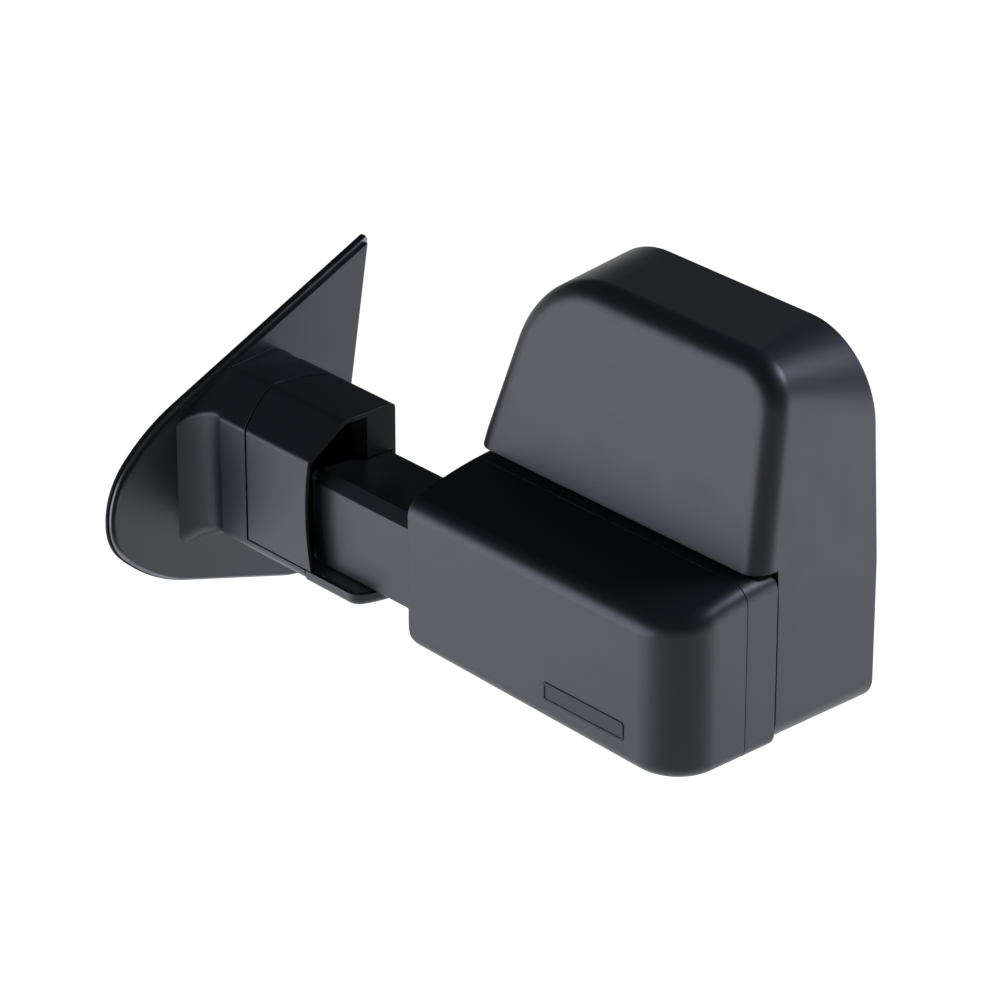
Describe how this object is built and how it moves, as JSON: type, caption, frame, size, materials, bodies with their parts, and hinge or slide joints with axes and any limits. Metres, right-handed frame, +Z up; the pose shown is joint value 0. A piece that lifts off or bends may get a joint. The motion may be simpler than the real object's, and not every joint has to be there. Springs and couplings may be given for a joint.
{
  "type": "extending towing mirror",
  "caption": "Door-mounted towing mirror with a triangular sail foot, a fold knuckle, a square arm and a large sliding head.",
  "frame": {"origin": "centre of the mounting studs' circle, on the face that seats against the door", "axes": "+X outboard from the door, +Y rearward towards the driver's view, +Z up"},
  "size_m": [0.4612, 0.2387, 0.2963],
  "materials": {
    "shell_plastic": "fine moulded texture, charcoal",
    "arm_coat": "charcoal powder coat",
    "trim_black": "satin black",
    "seal_rubber": "matte black",
    "plate_metal": "zinc-plated, passivated",
    "cast_alloy": "as cast",
    "steel": "zinc-plated",
    "spring_steel": "oiled",
    "bush_bronze": "sintered",
    "black_nylon": "glass-filled nylon",
    "white_acetal": "satin",
    "motor_can": "satin",
    "mirror_glass": "first-surface look"
  },
  "bodies": {
    "foot": {"door_gasket": "seal_rubber", "base_plate": "plate_metal", "foot_cover": "shell_plastic", "nose_cap": "shell_plastic", "pivot_bracket": "cast_alloy", "mounting_studs": "steel", "cable_grommet": "seal_rubber", "pivot_shaft": "steel", "thrust_washer": "white_acetal", "friction_washer": "steel", "fold_spring": "spring_steel", "spring_retainer": "steel", "pivot_nut": "steel"},
    "knuckle_and_arm": {"knuckle_cover": "shell_plastic", "knuckle_hub": "cast_alloy", "pivot_bush": "bush_bronze", "arm_tube": "arm_coat", "arm_end_cap": "trim_black"},
    "head": {"slide_carriage": "black_nylon", "wear_pads": "white_acetal", "glide_strips": "white_acetal", "shroud_front": "shell_plastic", "shroud_rear": "shell_plastic", "badge_plate": "trim_black", "head_housing": "shell_plastic", "glass_bezel": "trim_black", "head_frame": "black_nylon", "frame_screws": "steel", "actuator_case": "black_nylon", "actuator_cover": "black_nylon", "pan_motor": "motor_can", "tilt_motor": "motor_can", "lower_glass_bracket": "black_nylon"},
    "upper_gimbal_body": {"upper_gimbal": "white_acetal"},
    "upper_glass_body": {"upper_glass_plate": "trim_black", "upper_glass": "mirror_glass"},
    "pan_jack_body": {"pan_jackscrew": "white_acetal"},
    "tilt_jack_body": {"tilt_jackscrew": "white_acetal"},
    "lower_gimbal_body": {"lower_gimbal": "white_acetal"},
    "lower_glass_body": {"lower_glass_plate": "trim_black", "lower_glass": "mirror_glass"}
  },
  "joints": [
    {"name": "fold", "type": "hinge", "parent": "foot", "child": "knuckle_and_arm", "pos_m": [0.112, 0, 0], "axis": [0, 0, 1], "range_deg": [-40, 55]},
    {"name": "extend", "type": "slide", "parent": "knuckle_and_arm", "child": "head", "axis": [1, 0, 0], "range_m": [-0.028, 0.05]},
    {"name": "upper_pan", "type": "hinge", "parent": "head", "child": "upper_gimbal_body", "pos_m": [0.318, 0.119, 0.084], "axis": [0, 0, 1], "range_deg": [-7, 7]},
    {"name": "upper_tilt", "type": "hinge", "parent": "upper_gimbal_body", "child": "upper_glass_body", "pos_m": [0.318, 0.119, 0.084], "axis": [1, 0, 0], "range_deg": [-7, 7]},
    {"name": "pan_jack_travel", "type": "slide", "parent": "head", "child": "pan_jack_body", "axis": [0, 1, 0], "range_m": [-0.0043, 0.0043]},
    {"name": "tilt_jack_travel", "type": "slide", "parent": "head", "child": "tilt_jack_body", "axis": [0, 1, 0], "range_m": [-0.0043, 0.0043]},
    {"name": "lower_pan", "type": "hinge", "parent": "head", "child": "lower_gimbal_body", "pos_m": [0.318, 0.119, -0.0307], "axis": [0, 0, 1], "range_deg": [-7, 7]},
    {"name": "lower_tilt", "type": "hinge", "parent": "lower_gimbal_body", "child": "lower_glass_body", "pos_m": [0.318, 0.119, -0.0307], "axis": [1, 0, 0], "range_deg": [-7, 7]}
  ],
  "couplings": [
    {"joint": "pan_jack_travel", "follows": "upper_pan", "m_per_rad": 0.034},
    {"joint": "tilt_jack_travel", "follows": "upper_tilt", "m_per_rad": 0.034}
  ]
}
